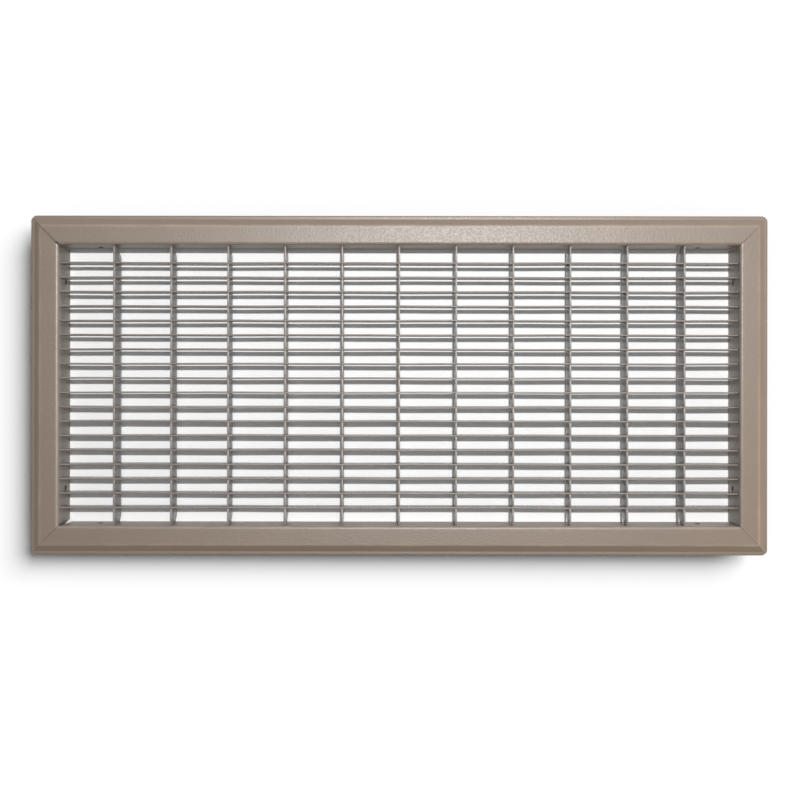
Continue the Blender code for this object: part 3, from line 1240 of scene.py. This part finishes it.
@dataclass
class Studio:
    """White table, lamps and camera.

    Attributes:
        opening: Half length and half width of the collar, at the middle of its sheet.
        flange: Distance from there to where the frame shades the table.
        lamps: The lamps.
        ambient: Brightness of the room's light on the object, where 1 is white.
        table_colour: Colour of the table.
        table_reach: Half the side of the table.
        table_drop: Distance from the collar's lower edge down to the table.
        camera_height: Height of the camera.
        camera_turn: Turn of the camera about its own axis, in radians.
        lens: Focal length of the camera, in millimetres.
        sensor: Width of its sensor, in millimetres.
        near_clip: Distance from which on it sees.
        shift: Shift of the picture across and up, as shares of its width.
    """

    opening: tuple[float, float]
    flange: float
    lamps: tuple[Lamp, ...] = (
        Lamp("key_on_grille", KEY_PLACE, 0.40, Lit.GRILLE, (0.05, 0.05)),
        Lamp("key_sheen", KEY_PLACE, 1.96, Lit.GRILLE, (0.12, 0.08), shine=Shine.GLOSS),
        Lamp("key_on_table", KEY_PLACE, 0.80, Lit.INNER_TABLE, (0.05, 0.05)),
        Lamp("table_fill", (0.0, 0.0, 1.20), 0.10, Lit.INNER_TABLE, (1.0, 1.0)),
        Lamp("far_fill", (0.77, 1.32, 0.35), 0.093, Lit.GRILLE, (0.40, 0.40), tint=(0.92, 1.00, 1.17),
             shine=Shine.DIFFUSE),
        Lamp("near_fill", (0.90, -0.28, 0.27), 0.050, Lit.GRILLE, (0.30, 0.20), tint=(1.10, 0.97, 0.83),
             shine=Shine.DIFFUSE),
        Lamp("table_wash", (1.00, 0.70, 1.00), 0.92, Lit.OUTER_TABLE, spread=42.0),
    )
    ambient: float = 0.170
    table_colour: Colour = (0.93, 0.93, 0.93)
    table_reach: float = 4.0
    table_drop: float = 0.0002
    camera_height: float = 0.7054
    camera_turn: float = 0.00122
    lens: float = 34.85
    sensor: float = 36.0
    near_clip: float = 0.01
    shift: tuple[float, float] = (0.0010, -0.01813)

    def plate(self, name: str, corners: list[tuple[float, float]], faces: list[tuple[int, ...]]
              ) -> bpy.types.Object:
        """Make a flat part of the table.

        Args:
            name: Name of the part.
            corners: Its corners on the table's plane.
            faces: Its faces, by corner.

        Returns:
            The part, declared as stage.
        """
        mesh = bpy.data.meshes.new(name)
        mesh.from_pydata([(x, y, -self.table_drop) for x, y in corners], [], faces)
        material = bpy.data.materials.new(f"{name}_paper")
        material.use_nodes = True
        shader = material.node_tree.nodes["Principled BSDF"]
        shader.inputs["Base Color"].default_value = (*self.table_colour, 1.0)
        shader.inputs["Roughness"].default_value = 1.0
        shader.inputs["Specular IOR Level"].default_value = 0.0
        mesh.materials.append(material)
        part = bpy.data.objects.new(name, mesh)
        bpy.context.scene.collection.objects.link(part)
        return part

    def table(self) -> dict[Lit, list[bpy.types.Object]]:
        """Make the table: one part inside the collar, one under the flange and one round the grille.

        Returns:
            The parts, by what lights them.
        """
        far = self.table_reach
        reaches = (self.opening, tuple(half + self.flange for half in self.opening), (far, far))
        inner, middle, outer = ([(-x, -y), (x, -y), (x, y), (-x, y)] for x, y in reaches)
        border = [(spot + 4, (spot + 1) % 4 + 4, (spot + 1) % 4, spot) for spot in range(4)]
        inside = self.plate("table_inside_collar", inner, [(0, 1, 2, 3)])
        under = self.plate("table_under_flange", inner + middle, border)
        around = self.plate("table_round_grille", middle + outer, border)
        around.visible_diffuse = False
        return {Lit.INNER_TABLE: [inside, under], Lit.OUTER_TABLE: [around]}

    def room(self) -> None:
        """Give the room its even light, and show it white to the camera and in reflections."""
        world = bpy.data.worlds.new("white_room")
        bpy.context.scene.world = world
        world.use_nodes = True
        tree = world.node_tree
        tree.nodes.clear()
        path = add_node(tree, "ShaderNodeLightPath").outputs
        seen = math_node(tree, "MAXIMUM", path["Is Camera Ray"], path["Is Glossy Ray"])
        seen = math_node(tree, "MAXIMUM", seen, path["Is Transmission Ray"])
        soft = add_node(tree, "ShaderNodeBackground", {"Color": WHITE, "Strength": self.ambient})
        white = add_node(tree, "ShaderNodeBackground", {"Color": WHITE, "Strength": 1.0})
        both = add_node(tree, "ShaderNodeMixShader", {0: seen, 1: soft.outputs[0], 2: white.outputs[0]})
        add_node(tree, "ShaderNodeOutputWorld", {"Surface": both.outputs[0]})

    def camera(self) -> None:
        """Hang the camera straight above the grille."""
        lens = bpy.data.cameras.new("overhead_camera")
        lens.sensor_width = self.sensor
        lens.lens = self.lens
        lens.shift_x, lens.shift_y = self.shift
        lens.clip_start = self.near_clip
        camera = bpy.data.objects.new("overhead_camera", lens)
        camera.location = (0.0, 0.0, self.camera_height)
        camera.rotation_euler = (0.0, 0.0, self.camera_turn)
        bpy.context.scene.collection.objects.link(camera)
        bpy.context.scene.camera = camera

    def build(self, pieces: list[bpy.types.Object]) -> None:
        """Set up the whole studio.

        Args:
            pieces: The pieces of the grille.
        """
        targets = {Lit.GRILLE: pieces, **self.table()}
        for lamp in self.lamps:
            lamp.build(targets)
            LOG.info("lamp %s at level %.2f", lamp.name, lamp.level)
        self.room()
        self.camera()
        bpy.context.scene.view_settings.view_transform = "Standard"


def numbered(prefix: str) -> list[str]:
    """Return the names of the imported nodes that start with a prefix, in order."""
    return sorted(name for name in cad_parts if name.startswith(prefix))


def main() -> None:
    """Build the grille piece by piece, then the studio round it."""
    logging.basicConfig(level=logging.INFO, format="%(name)s: %(message)s")
    low, high = CAD_BOX
    size = high - low
    section = FormedSection(depth=size.z)
    # Each edge gain paints folds and front edges lighter, partly as thinner film, partly as a painted
    # highlight.
    frame_enamel = Enamel("frame_taupe_enamel", "frame_enamel", colour=(0.298, 0.223, 0.165), roughness=0.52,
                          wall_shade_and_reflection=(0.275, 0.236, 0.200), wall_roughness=0.42, edge_film_and_highlight_gain=2.0)
    # The blades' colour is darkened as painted shade on their close-set sides, and their darker, more neutral
    # wall colour is painted shade and painted reflection.
    blade_enamel = Enamel("blade_taupe_enamel", "blade_enamel", colour=(0.275, 0.232, 0.200), roughness=0.50,
                          wall_shade_and_reflection=(0.235, 0.222, 0.212), edge_film_and_highlight_gain=1.5)
    bar_enamel = Enamel("bar_taupe_enamel", "bar_enamel", colour=(0.285, 0.245, 0.213), roughness=0.50,
                        wall_shade_and_reflection=(0.265, 0.255, 0.250), edge_film_and_highlight_gain=1.3)
    blades = numbered("blade_")
    pieces = MitredFrame(frame_enamel, size.x, size.y, section).build()
    pieces += BladeRow(blade_enamel, blades).build()
    pieces += CrossBars(bar_enamel, numbered("cross_bar_"), blades).build()
    wall = section.overhang - section.sheet / 2
    flange = section.face_width + section.roll_radius - section.sheet / 2
    Studio((size.x / 2 - wall, size.y / 2 - wall), flange).build(pieces)
    LOG.info("%d pieces", len(pieces))


if __name__ == "__main__":
    main()
